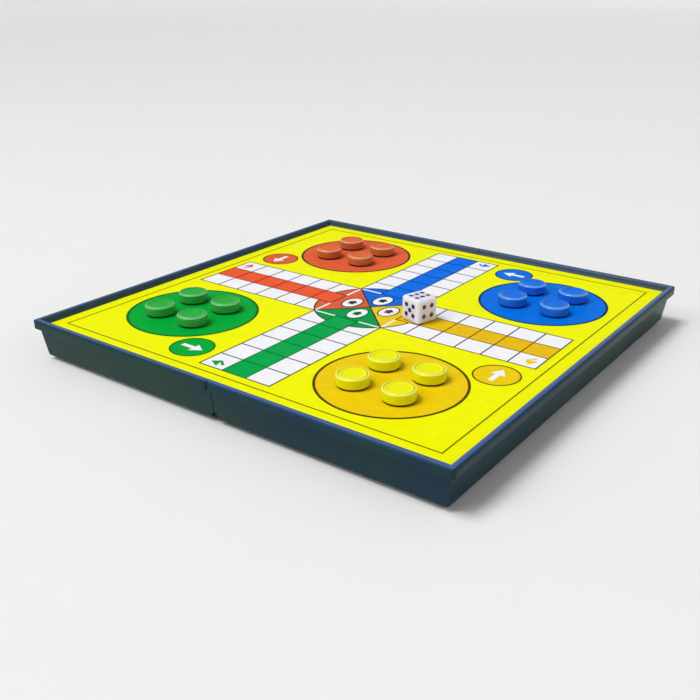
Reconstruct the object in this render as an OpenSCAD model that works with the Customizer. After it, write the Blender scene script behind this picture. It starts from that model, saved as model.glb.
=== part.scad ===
// Folding magnetic ludo board box, opened flat.
// Millimetres, +Z up. The origin is on the table, under the middle of the fold line.
// The fold line runs along Y. The right half (x > 0) turns down and under the left half,
// mouth to mouth, so that the box shuts with its two playing surfaces on the outside.

/* [Case] */
// Width of the open board across both halves
case_w = 150; // [146:0.5:156]
// Depth of the board along the fold line
case_d = 150; // [146:0.5:156]
// Height of the case from its mouth to the playing surface
wall_drop = 10.1; // [9.6:0.1:14]
// Thickness of a side wall at the mouth
wall_t = 1.3; // [1:0.1:1.8]
// How far a side wall leans in from the rim down to the mouth
wall_lean = 1.1; // [0.6:0.1:1.6]
// Thickness of the wall beside the fold
fold_wall_t = 1.5; // [1.2:0.1:2]
// Thickness of the plastic deck under the steel plate
deck_t = 1.2; // [0.8:0.1:1.4]
// Gap between the two halves along the fold
seam_gap = 0.16; // [0.1:0.02:0.3]
// Radius of the case's outer corners seen from above
corner_r = 1.6; // [1:0.1:2.2]
// Radius of the case's corners at the fold seen from above
fold_corner_r = 0.9; // [0.5:0.1:1.4]

/* [Rim] */
// Height of the rim above the playing surface
rim_rise = 2; // [1.6:0.1:2.6]
// Thickness of the rounded rim
rim_t = 2.4; // [2:0.1:3]
// How far the rim's band reaches below the playing surface
rim_drop = 0.8; // [0.5:0.1:1.5]
// How far the side wall is set in under the rim
rim_step = 1.6; // [1.2:0.1:2]
// Slope of the rim's inner face, from the playing surface to its top
rim_slope = 0.6; // [0.3:0.1:0.8]

/* [Play surface] */
// Thickness of the steel plate that the magnets hold to
steel_t = 0.35; // [0.3:0.05:0.5]
// Thickness of the printed sheet
sheet_t = 0.2; // [0.15:0.05:0.3]
// Thickness of one coat of printing ink
ink_t = 0.06; // [0.04:0.01:0.08]
// Clearance from the plate and the sheet to the rim
sheet_clear = 0.2; // [0.1:0.05:0.4]
// Yellow margin from the sheet's edge to the first square
field_margin = 7.3; // [6:0.1:9]
// Width of the lines between the squares
line_w = 0.42; // [0.3:0.02:0.6]
// Width of the lines around the big circles
yard_line_w = 0.75; // [0.4:0.05:1]

/* [Pattern in squares] */
// Radius of a home circle, in squares
yard_r = 2.4; // [2.2:0.05:2.6]
// Gap from a home circle to its own arm, in squares
yard_gap = 1.13; // [1:0.01:1.2]
// Gap from a home circle to the next arm, in squares
yard_side_gap = 0.44; // [0.3:0.01:0.5]
// Radius of a start disc, in squares
start_r = 0.76; // [0.6:0.02:0.8]
// Gap from a start disc to its arm, in squares
start_gap = 0.37; // [0.2:0.01:0.4]
// How far a start disc's edge lies inside its arm's outer end, in squares
start_in = 0.02; // [0:0.01:0.2]
// Half width of an oval in the centre, in squares
oval_rx = 0.35; // [0.25:0.01:0.4]
// Half length of an oval in the centre, in squares
oval_ry = 0.52; // [0.4:0.01:0.55]
// Distance of an oval from the board's centre, in squares
oval_at = 0.84; // [0.75:0.01:0.9]
// Width of the white strokes beside the last squares, in squares
stroke_w = 0.09; // [0.06:0.01:0.12]
// Length of those strokes, in squares
stroke_len = 0.92; // [0.7:0.02:0.98]
// Distance of the border line from the outer squares, in squares
border_off = 0.35; // [0.25:0.01:0.45]
// Distance of a pawn from its circle's centre along X and Y, in squares
pawn_at = 0.85; // [0.75:0.01:1.1]

/* [Hinges] */
// Diameter of a hinge pin
pin_d = 1; // [0.8:0.1:1.2]
// Radial clearance of a pin in the turning knuckle
pin_clear = 0.05; // [0.02:0.01:0.1]
// Outside diameter of a knuckle
knuckle_d = 2.3; // [2.2:0.1:2.6]
// Length of each outer knuckle, which holds the pin
outer_knuckle = 5; // [3:0.5:8]
// Length of the middle knuckle, which turns on the pin
middle_knuckle = 7; // [4:0.5:12]
// Side gap between knuckles
knuckle_gap = 0.2; // [0.1:0.05:0.4]
// Distance of each hinge's middle from the case's end
hinge_in = 23; // [19:1:35]
// Clearance of a knuckle to the other half's wall
knuckle_clear = 0.25; // [0.2:0.05:0.4]
// Height of the V-shaped relief along the fold
relief_h = 2.3; // [2.2:0.1:3.5]
// Gap left between the two mouths when the box is shut
mouth_gap = 0.1; // [0.05:0.05:0.3]
// Clearance of the knuckles above the table
table_clear = 0.1; // [0.05:0.05:0.2]

/* [Locating tabs] */
// Length of the tabs on the outer side walls
side_tab = 14; // [8:1:20]
// Length of the tabs beside the fold
fold_tab = 7; // [4:0.5:8]
// Thickness of a tab
tab_t = 1.6; // [1.2:0.1:2]
// Clearance of a tab inside the other half's wall
tab_clear = 0.3; // [0.2:0.05:0.5]
// Height of a tab's root above the mouth
tab_root = 4; // [2:0.5:5]
// Bevel at a tab's tip
tab_tip = 0.4; // [0.2:0.1:0.6]
// Distance of the left half's side tabs from the case's ends
left_tab_in = 33; // [25:1:37]
// Distance of the right half's side tabs from the case's ends
right_tab_in = 55; // [54:1:63]
// Distance of the left half's fold tabs from the fold line
left_tab_x = 9; // [8:0.5:10]
// Distance of the right half's fold tabs from the fold line
right_tab_x = 19; // [18:0.5:26]

/* [Pawns] */
// Diameter of a pawn
pawn_d = 9.3; // [8:0.1:10]
// Height of a pawn
pawn_h = 3.4; // [2.6:0.1:3.8]
// Radius of a pawn's upper edge
pawn_edge = 0.45; // [0.2:0.05:0.6]
// Bevel at a pawn's foot
pawn_foot = 0.35; // [0.1:0.05:0.5]
// Distance of the fine ring groove's middle from the pawn's edge
groove_in = 0.7; // [0.65:0.05:1.1]
// Width of the ring groove
groove_w = 0.22; // [0.15:0.01:0.3]
// Depth of the ring groove
groove_depth = 0.16; // [0.1:0.02:0.25]
// Depth of the dish in the middle of a pawn's top
dish_depth = 0.25; // [0.1:0.05:0.4]
// Width of the slope round the dish
dish_slope = 0.9; // [0.6:0.1:1.5]
// Diameter of the magnet in a pawn
magnet_d = 6; // [4:0.1:6.5]
// Height of the magnet
magnet_h = 1.2; // [0.8:0.1:1.4]
// Glue gap around and above the magnet
glue_gap = 0.05; // [0.03:0.01:0.1]

/* [Die] */
// Edge of the die
die_s = 8; // [7:0.1:8.3]
// Radius of the die's edges
die_edge = 1; // [0.6:0.1:1.2]
// Diameter of a pip
pip_d = 1.55; // [1.2:0.05:1.8]
// Depth of a pip's recess
pip_depth = 0.35; // [0.2:0.05:0.5]
// Thickness of the paint in a pip
paint_t = 0.12; // [0.08:0.02:0.18]
// Distance of the corner pips from the die's edge
pip_in = 2.45; // [2:0.05:2.6]
// Half distance between the two rows of six
six_row = 1.35; // [1.2:0.05:1.6]
// Step between pips in a row of six
six_step = 2.25; // [2:0.05:2.35]
// Distance of the die from the fold line, in squares
die_x = 2.17; // [1.2:0.01:2.6]
// Distance of the die from the cross line, in squares
die_y = 0; // [-0.3:0.1:0.6]
// Turn of the die on the board
die_turn = -16; // [-45:1:45]

/* [Hidden] */
$fn = 72;
ARC_STEPS = 8;                              // straight steps in a quarter of a small rounding
OVAL_SIDES = 40;
BITE = 0.3;                                 // how deep a tab or web is rooted in its wall
FAR = 400;                                  // longer than anything here, for cutting tools

COLOURS = ["green", "red", "blue", "yellow"];   // in order of the quarter turns below
CAP_COLOUR = ["#1FA43E", "#D8582E", "#1464D8", "#E6E21A"];
SIDES = ["left", "right"];

pin_r = pin_d / 2;
knuckle_r = knuckle_d / 2;
axis_z = knuckle_r + table_clear;           // height of the hinge axis
mouth_z = axis_z + mouth_gap / 2;
play_z = mouth_z + wall_drop;               // top of the printed sheet
line_z = play_z + ink_t;                    // the lines are printed over the colours
floor_z = play_z - sheet_t - steel_t;       // top of the plastic deck
under_z = floor_z - deck_t;                 // underside of the deck
top_z = play_z + rim_rise;
rim_r = rim_t / 2;
seam_x = seam_gap / 2;

half_w = case_w / 2;
half_d = case_d / 2;
// The recess in the deck is as far in from the rim's outer face all round
recess_in = rim_t + rim_slope;
sheet_w = half_w - recess_in - sheet_clear;
sheet_d = half_d - recess_in - sheet_clear;
// The side walls stand upright inside, so the cavity measures the same at every height
cavity_in = rim_step + wall_lean + wall_t;
cavity_w = half_w - cavity_in;
cavity_d = half_d - cavity_in;

// The ludo grid: each arm has three columns of six squares
COLUMNS = 3;
ROWS = 6;
HUB = COLUMNS / 2;                          // half width of an arm and of the centre square, in squares
ARM = HUB + ROWS;                           // outer end of an arm, in squares
ring_r = HUB * sqrt(2);                     // circle through the centre square's corners
cell = (min(sheet_w, sheet_d) - field_margin) / ARM;

// Middles of the home circle and the start disc beside an arm, in squares
yard_x = HUB + yard_gap + yard_r;
yard_y = HUB + yard_side_gap + yard_r;
start_x = HUB + start_gap + start_r;
start_y = ARM - start_in - start_r;

// Small printed shapes, in squares about their own middle
HOUSE = [[-0.12, -0.16], [0.12, -0.16], [0.12, 0.03], [0.2, 0.03], [0, 0.22], [-0.2, 0.03], [-0.12, 0.03]];
BENT_HEAD = [[-0.32, -0.14], [-0.02, 0.06], [0.1, -0.36]];
BENT_SHAFT = [[-0.12, 0.02], [0, 0.08], [0.3, -0.16], [0.22, -0.24], [0.02, -0.06]];
START_ARROW = [
    [-0.46, -0.09], [0.06, -0.09], [0.06, -0.27], [0.48, 0], [0.06, 0.27], [0.06, 0.09], [-0.46, 0.09]];

knuckle_room = knuckle_r + knuckle_clear;
// Half width of the V relief at the mouth, so that its flank clears the knuckles
relief_w = knuckle_room * relief_h / sqrt(relief_h * relief_h - knuckle_room * knuckle_room);

pip_r = pip_d / 2;
pip_at = die_s / 2 - pip_in;
pocket_h = magnet_h + 2 * glue_gap;

function pawn_name(c, i) = str(COLOURS[c], "_pawn_", i);
function magnet_name(c, i) = str(pawn_name(c, i), "_magnet");

// The coats of ink with their shades; the lines are the last one, printed over the others
INKS = [["yellow", "#F2F200"], ["white", "#F2F2F6"], ["green", "#00A83C"], ["red", "#E8603A"],
        ["blue", "#0070E0"], ["gold", "#EDCB0A"], ["line", "#2A2418"]];
// The red arm lies on the left half alone and the gold one on the right half alone
PRINTS = [for (s = SIDES) for (ink = INKS) if (ink[0] != (s == "left" ? "gold" : "red")) [s, ink[0]]];
function print_name(p) = str(p[0], "_", p[1], "_print");

// Points of an arc, from one angle to another
function arc(cx, cy, r, from, to) =
    [for (i = [0:ARC_STEPS]) let (a = from + (to - from) * i / ARC_STEPS) [cx + r * cos(a), cy + r * sin(a)]];
function mirrored(points) = [for (i = [len(points) - 1:-1:0]) [-points[i][0], points[i][1]]];
function both_sides(points) = concat(points, mirrored(points));
function squares(points) = [for (p = points) p * cell];

// Children are drawn for the right half and mirrored for the left one
module on_side(side) {
    if (side == "right") children();
    else mirror([1, 0, 0]) children();
}

// Extrudes a profile of X and Z along Y, about the cross line
module along_y(length) {
    rotate([90, 0, 0]) linear_extrude(height = length, center = true) children();
}

// Extrudes a profile of Y and Z along X, about the fold line
module along_x(length) {
    rotate([90, 0, 90]) linear_extrude(height = length, center = true) children();
}

// Outline of the closed case from side to side: wall, step, band and rounded rim
module case_outline(half) {
    band_z = play_z - rim_drop;
    polygon(both_sides(concat(
        [[half - rim_step - wall_lean, mouth_z], [half - rim_step, band_z - rim_step / 2], [half, band_z]],
        arc(half - rim_r, top_z - rim_r, rim_r, 0, 90))));
}

// Outline of the recess above the deck, whose upper edge follows the rim's rounding
module recess_outline(half) {
    polygon(both_sides(concat(
        [[half - recess_in, floor_z], [half - recess_in, play_z]],
        arc(half - rim_r, top_z - rim_r, rim_r, 180, 90),
        [[half - rim_r, FAR]])));
}

// Plan of the right half, with small corners at the fold and larger ones outside
module half_plan() {
    fold_edge = seam_x + fold_corner_r;
    outer_edge = half_w - corner_r;
    linear_extrude(height = FAR, center = true) union() {
        translate([fold_edge, -half_d]) square([outer_edge - fold_edge, case_d]);
        translate([seam_x, fold_corner_r - half_d]) square([outer_edge - seam_x, case_d - 2 * fold_corner_r]);
        translate([half_w / 2, corner_r - half_d]) square([half_w / 2, case_d - 2 * corner_r]);
        for (y = [-1, 1]) {
            translate([fold_edge, y * (half_d - fold_corner_r)]) circle(r = fold_corner_r);
            translate([outer_edge, y * (half_d - corner_r)]) circle(r = corner_r);
        }
    }
}

// The right half as one block with its recess
module case_block() {
    difference() {
        intersection() {
            along_y(FAR) case_outline(half_w);
            along_x(FAR) case_outline(half_d);
            half_plan();
        }
        intersection() {
            along_y(FAR) recess_outline(half_w);
            along_x(FAR) recess_outline(half_d);
        }
    }
}

// Storage space under the deck; beside the fold it keeps the wall's thickness behind the relief
module cavity() {
    along_y(2 * cavity_d) polygon([
        [relief_w + fold_wall_t, 0],
        [cavity_w, 0],
        [cavity_w, under_z],
        [seam_x + fold_wall_t, under_z],
        [seam_x + fold_wall_t, axis_z + relief_h],
        [relief_w + fold_wall_t, axis_z]]);
}

// V-shaped relief along the fold, in which the knuckles lie
module fold_relief() {
    along_y(FAR) polygon([
        [-seam_x, 0], [relief_w, 0], [relief_w, axis_z],
        [seam_x, axis_z + relief_h], [-seam_x, axis_z + relief_h]]);
}

// Solid web from the fold wall to a knuckle, above the mouth plane
module knuckle_web(length) {
    along_y(length) polygon([
        [seam_x, mouth_z],
        [relief_w + fold_wall_t / 2, mouth_z],
        [seam_x + fold_wall_t / 2, axis_z + relief_h],
        [seam_x, axis_z + relief_h]]);
}

module knuckle(length, bore_r) {
    difference() {
        union() {
            translate([0, 0, axis_z]) rotate([90, 0, 0]) cylinder(r = knuckle_r, h = length, center = true);
            knuckle_web(length);
        }
        translate([0, 0, axis_z]) rotate([90, 0, 0]) cylinder(r = bore_r, h = length + 2, center = true);
    }
}

outer_at = middle_knuckle / 2 + knuckle_gap + outer_knuckle / 2;

// The left half holds the pins in two outer knuckles; the right half turns on them with the middle one
module knuckles(side) {
    for (end = [-1, 1]) translate([0, end * (half_d - hinge_in), 0]) {
        if (side == "right") knuckle(middle_knuckle, pin_r + pin_clear);
        else for (y = [-1, 1]) translate([0, y * outer_at, 0]) knuckle(outer_knuckle, pin_r);
    }
}

// Section of a locating tab: u runs outwards to the wall it stands on, whose inner face is at u = wall
module tab_section(wall) {
    face = wall - tab_clear;
    root_z = mouth_z + tab_root;
    polygon([
        [face - tab_t + tab_tip, 0], [face - tab_tip, 0], [face, tab_tip], [face, mouth_z],
        [wall + BITE, mouth_z + tab_clear], [wall + BITE, root_z], [face - tab_t, root_z - tab_t],
        [face - tab_t, tab_tip]]);
}

// Tabs reach past the mouth: they carry the open board and find the other half when it shuts
module tabs(side) {
    side_y = half_d - (side == "right" ? right_tab_in : left_tab_in);
    fold_x = side == "right" ? right_tab_x : left_tab_x;
    for (end = [-1, 1]) {
        translate([0, end * side_y, 0]) along_y(side_tab) tab_section(cavity_w);
        translate([fold_x, 0, 0]) mirror([0, end < 0 ? 1 : 0, 0]) along_x(fold_tab) tab_section(cavity_d);
    }
}

module shell(side) {
    color("#2C3B42") on_side(side) {
        difference() {
            case_block();
            cavity();
            fold_relief();
        }
        knuckles(side);
        tabs(side);
    }
}

// Flat layer of the play surface that covers one half between the fold and the rim
module half_layer(side, z, thickness) {
    on_side(side) translate([seam_x, -sheet_d, z]) cube([sheet_w - seam_x, 2 * sheet_d, thickness]);
}

module steel_plate(side) {
    color("#A9AEB3") half_layer(side, floor_z, steel_t);
}

module play_sheet(side) {
    color("#F4F4F4") half_layer(side, floor_z + steel_t, sheet_t);
}

module hinge_pin(end) {
    length = middle_knuckle + 2 * (knuckle_gap + outer_knuckle);
    color("#C4C8CC") translate([0, end * (half_d - hinge_in), axis_z]) rotate([90, 0, 0])
        cylinder(r = pin_r, h = length, center = true);
}

// The pattern: one arm with its circle, disc and arrow is drawn for the front (green) arm,
// and quarter turns put it on the red, blue and yellow arms
module quarter(c) {
    rotate(-90 * c) children();
}

module oval(grow) {
    rx = oval_rx * cell + grow;
    ry = oval_ry * cell + grow;
    polygon([for (i = [0:OVAL_SIDES - 1]) let (a = 360 * i / OVAL_SIDES) [rx * cos(a), ry * sin(a)]]);
}

// All four ovals lie the same way, along the fold
module oval_of(c, grow) {
    at = oval_at * cell;
    translate([[0, -at], [-at, 0], [0, at], [at, 0]][c]) oval(grow);
}

// Small plain house in the middle of an oval
module house(c) {
    at = oval_at * cell;
    translate([[0, -at], [-at, 0], [0, at], [at, 0]][c]) polygon(squares(HOUSE));
}

// Small bent arrow in an arm's first square
module bent_arrow() {
    translate([(1 - HUB - 0.5) * cell, (0.5 - ARM) * cell]) union() {
        polygon(squares(BENT_HEAD));
        polygon(squares(BENT_SHAFT));
    }
}

// Straight arrow on a start disc, pointing to the arm
module start_arrow() {
    translate([-start_x * cell, -start_y * cell]) polygon(squares(START_ARROW));
}

// White strokes on the centre square's edge, on both sides of an arm's last square
module strokes() {
    for (x = [-1, 1])
        translate([x * cell, -HUB * cell]) square([stroke_len * cell, stroke_w * cell], center = true);
}

module yard(grow) {
    translate([-yard_x * cell, -yard_y * cell]) circle(r = yard_r * cell + grow);
}

module start_disc(grow) {
    translate([-start_x * cell, -start_y * cell]) circle(r = start_r * cell + grow);
}

// Quarter of the centre disc that belongs to the front arm
module hub_sector() {
    reach = ring_r * cell * 2;
    intersection() {
        circle(r = ring_r * cell);
        polygon([[0, 0], [-reach, -reach], [reach, -reach]]);
    }
}

module colour_field(c) {
    difference() {
        quarter(c) union() {
            translate([-cell / 2, -ARM * cell]) square([cell, ROWS * cell]);
            hub_sector();
            yard(0);
            difference() {
                start_disc(0);
                start_arrow();
            }
            bent_arrow();
        }
        quarter(c) strokes();
        oval_of(c, 0);
    }
}

// The ground colour fills the sheet around the arms, circles and discs
module yellow_field() {
    difference() {
        square([2 * sheet_w, 2 * sheet_d], center = true);
        for (turn = [0, 90]) rotate(turn) square([COLUMNS * cell, 2 * ARM * cell], center = true);
        for (c = [0:3]) quarter(c) {
            yard(0);
            start_disc(0);
        }
    }
}

module white_field() {
    difference() {
        for (c = [0:3]) quarter(c) for (x = [-1, 1])
            translate([x * cell - cell / 2, -ARM * cell]) square([cell, ROWS * cell]);
        circle(r = ring_r * cell);
        for (c = [0:3]) quarter(c) bent_arrow();
    }
    for (c = [0:3]) {
        oval_of(c, 0);
        quarter(c) strokes();
        quarter(c) start_arrow();
    }
}

// Circle drawn with a line of the given width
module circle_line(x, y, r, width) {
    translate([x, y]) difference() {
        circle(r = r + width / 2);
        circle(r = r - width / 2);
    }
}

module arm_lines() {
    long = ROWS * cell;
    wide = COLUMNS * cell;
    for (x = [0:COLUMNS])
        translate([(x - HUB) * cell - line_w / 2, -ARM * cell - line_w / 2]) square([line_w, long + line_w]);
    for (y = [0:ROWS - 1])
        translate([-wide / 2 - line_w / 2, (y - ARM) * cell - line_w / 2]) square([wide + line_w, line_w]);
    translate([-cell / 2, -HUB * cell - line_w / 2]) square([cell, line_w]);
}

// The ring round the centre is left out where an arm's middle squares pass through it
module hub_ring() {
    difference() {
        circle_line(0, 0, ring_r * cell, line_w);
        for (turn = [0, 90]) rotate(turn) square([cell, 2 * ARM * cell], center = true);
    }
}

module line_art() {
    for (c = [0:3]) {
        quarter(c) {
            arm_lines();
            circle_line(-yard_x * cell, -yard_y * cell, yard_r * cell, yard_line_w);
            circle_line(-start_x * cell, -start_y * cell, start_r * cell, line_w);
        }
        difference() {
            oval_of(c, line_w / 2);
            oval_of(c, -line_w / 2);
        }
        house(c);
    }
    hub_ring();
    for (turn = [-45, 45]) rotate(turn) square([2 * ring_r * cell, line_w], center = true);
    border = (ARM + border_off) * cell;
    difference() {
        square(2 * border + line_w, center = true);
        square(2 * border - line_w, center = true);
    }
}

module ink_art(ink) {
    if (ink == "yellow") yellow_field();
    else if (ink == "white") white_field();
    else if (ink == "green") colour_field(0);
    else if (ink == "red") colour_field(1);
    else if (ink == "blue") colour_field(2);
    else if (ink == "gold") colour_field(3);
    else line_art();
}

module print_layer(side, ink) {
    shade = [for (i = INKS) if (i[0] == ink) i[1]][0];
    x = side == "right" ? seam_x : -sheet_w;
    z = ink == "line" ? line_z : play_z;
    color(shade) translate([0, 0, z]) linear_extrude(height = ink_t) intersection() {
        ink_art(ink);
        translate([x, -sheet_d]) square([sheet_w - seam_x, 2 * sheet_d]);
    }
}

// Pawn i of a colour stands at one of four places about the middle of its circle
module pawn_place(c, i) {
    dx = (i == 1 || i == 2) ? -pawn_at : pawn_at;
    dy = (i == 1 || i == 3) ? -pawn_at : pawn_at;
    quarter(c) translate([(dx - yard_x) * cell, (dy - yard_y) * cell, play_z + ink_t]) children();
}

// Round button with a rounded upper edge, a fine ring, a slight dish and a pocket for the magnet
module pawn(c, i) {
    r = pawn_d / 2;
    ring = r - groove_in;
    pocket_r = magnet_d / 2 + glue_gap;
    color(CAP_COLOUR[c]) pawn_place(c, i) rotate_extrude() polygon(concat(
        [[0, pocket_h], [pocket_r, pocket_h], [pocket_r, 0], [r - pawn_foot, 0], [r, pawn_foot]],
        arc(r - pawn_edge, pawn_h - pawn_edge, pawn_edge, 0, 90),
        [[ring + groove_w / 2, pawn_h], [ring + groove_w / 2, pawn_h - groove_depth],
         [ring - groove_w / 2, pawn_h - groove_depth], [ring - groove_w / 2, pawn_h],
         [ring - groove_w / 2 - dish_slope, pawn_h - dish_depth], [0, pawn_h - dish_depth]]));
}

module magnet(c, i) {
    color("#3A3A3C") pawn_place(c, i) translate([0, 0, glue_gap]) cylinder(d = magnet_d, h = magnet_h);
}

module die_place() {
    translate([die_x * cell, die_y * cell, line_z + ink_t + die_s / 2]) rotate([0, 0, die_turn]) children();
}

module rounded_square() {
    inner = die_s - 2 * die_edge;
    square([die_s, inner], center = true);
    square([inner, die_s], center = true);
    for (x = [-1, 1]) for (y = [-1, 1]) translate([x * inner / 2, y * inner / 2]) circle(r = die_edge);
}

module rounded_bar() {
    linear_extrude(height = die_s, center = true) rounded_square();
}

// Turns that bring each number's face up; opposite faces add up to seven
FACES = [
    [1, [180, 0, 0]], [6, [0, 0, 0]], [5, [90, 0, 0]], [2, [-90, 0, 0]], [4, [0, 90, 0]], [3, [0, -90, 0]]];

function pips_of(n) = concat(
    n % 2 == 1 ? [[0, 0]] : [],
    n > 1 && n < 6 ? [[-pip_at, pip_at], [pip_at, -pip_at]] : [],
    n == 4 || n == 5 ? [[pip_at, pip_at], [-pip_at, -pip_at]] : [],
    n == 6 ? [for (x = [-1, 1]) for (y = [-1:1]) [x * six_row, y * six_step]] : []);

// Discs in every face whose number is listed, from a depth under the face up to another
module pips(numbers, from, to) {
    for (f = FACES) if (len([for (n = numbers) if (n == f[0]) n]) > 0)
        rotate(f[1]) for (p = pips_of(f[0]))
            translate([p[0], p[1], die_s / 2 - from]) cylinder(r = pip_r, h = from - to);
}

module die() {
    color("#F4F2F8") die_place() difference() {
        intersection() {
            rounded_bar();
            rotate([90, 0, 0]) rounded_bar();
            rotate([0, 90, 0]) rounded_bar();
        }
        pips([1, 2, 3, 4, 5, 6], pip_depth, -1);
    }
}

module die_pips(numbers, shade) {
    color(shade) die_place() pips(numbers, pip_depth, pip_depth - paint_t);
}

for (s = SIDES) shell(s);
for (s = SIDES) steel_plate(s);
for (s = SIDES) play_sheet(s);
hinge_pin(-1);  // front_hinge_pin
hinge_pin(1);  // rear_hinge_pin
for (p = PRINTS) print_layer(p[0], p[1]);
for (c = [0:3]) for (i = [1:4]) pawn(c, i);
for (c = [0:3]) for (i = [1:4]) magnet(c, i);
die();
die_pips([2, 3, 5, 6], "#2E2A66");  // die_blue_pips
die_pips([1, 4], "#7E2F36");  // die_red_pips
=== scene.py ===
"""Folding magnetic ludo board box, opened flat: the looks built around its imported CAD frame.

The frame gives every node's place. The moulded halves, the print, the pawns, the magnets, the
hinge pins and the die are made again here with their fine forms and finishes, in metres, +Z up,
with the origin on the table under the middle of the fold line.
"""

import logging
import math
from dataclasses import dataclass, field
from enum import Enum
from typing import Callable, Iterable, Optional, Sequence

import bmesh
import bpy
from mathutils import Matrix, Vector


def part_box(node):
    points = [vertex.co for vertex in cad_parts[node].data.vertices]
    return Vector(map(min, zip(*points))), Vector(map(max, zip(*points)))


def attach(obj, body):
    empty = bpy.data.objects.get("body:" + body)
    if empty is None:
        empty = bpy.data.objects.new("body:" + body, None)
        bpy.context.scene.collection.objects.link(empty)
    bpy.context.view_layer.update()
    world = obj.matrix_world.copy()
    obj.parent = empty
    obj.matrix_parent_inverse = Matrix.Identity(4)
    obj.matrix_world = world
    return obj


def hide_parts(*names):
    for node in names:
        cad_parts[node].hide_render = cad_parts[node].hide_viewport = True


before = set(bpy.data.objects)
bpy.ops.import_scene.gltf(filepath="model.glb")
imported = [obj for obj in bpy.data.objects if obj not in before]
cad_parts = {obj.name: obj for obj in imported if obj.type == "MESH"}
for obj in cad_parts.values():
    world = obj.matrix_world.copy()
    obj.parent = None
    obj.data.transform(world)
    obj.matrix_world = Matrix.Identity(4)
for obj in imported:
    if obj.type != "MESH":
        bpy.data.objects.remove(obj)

LOG = logging.getLogger("ludo_board")
MM = 0.001
CELL = 8.6 * MM  # one square of the ludo grid
HUB = 1.5  # half width of an arm, in squares
ARM = 7.5  # outer end of an arm, in squares
PAWNS = 4  # of each colour
SAME = 0.001 * MM  # points nearer than this are one
FLAT = math.radians(0.3)  # faces that meet at less than this are one
CLOUD = (0.3, 0.7)  # most values of a noise texture lie between these

Colour = tuple[float, float, float, float]
Point = tuple[float, float]
Socket = bpy.types.NodeSocket
Tree = bpy.types.NodeTree
Piece = bpy.types.Object
Shape = bmesh.types.BMesh

MADE: dict[str, bpy.types.Material] = {}  # materials of this script by name


class Side(Enum):
    """The two halves of the case."""

    LEFT = "left"
    RIGHT = "right"

    @property
    def body(self) -> str:
        """Name of the CAD body of this half."""
        return f"{self.value}_half"


class Team(Enum):
    """The four colours, in order of the quarter turns from the front arm clockwise."""

    GREEN = 0
    RED = 1
    BLUE = 2
    YELLOW = 3

    @property
    def word(self) -> str:
        """The colour's name as the CAD nodes write it."""
        return self.name.lower()

    def to_front(self, x: float, y: float) -> Point:
        """Turns a point of this colour's quarter onto the front quarter."""
        return ((x, y), (-y, x), (-x, -y), (y, -x))[self.value]


def linear(text: str) -> Colour:
    """Turns an sRGB hex value to the linear colour that a shader takes.

    Args:
        text: Six hex digits after a hash sign.

    Returns:
        Red, green, blue and an alpha of one.
    """
    parts = [int(text[i:i + 2], 16) / 255 for i in (1, 3, 5)]
    red, green, blue = [p / 12.92 if p <= 0.04045 else ((p + 0.055) / 1.055) ** 2.4 for p in parts]
    return red, green, blue, 1.0


def add_node(tree: Tree, kind: str, inputs: Optional[dict] = None, **settings: object) -> bpy.types.Node:
    """Adds a node to a tree, sets it up and links it.

    Args:
        tree: The tree that gets the node.
        kind: The node's type.
        inputs: A value or an output socket for each input, which is named or counted.
        **settings: The node's own properties.

    Returns:
        The new node.
    """
    made = tree.nodes.new(kind)
    for key, value in settings.items():
        setattr(made, key, value)
    for key, value in (inputs or {}).items():
        if isinstance(value, Socket):
            tree.links.new(value, made.inputs[key])
        else:
            made.inputs[key].default_value = value
    return made


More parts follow.
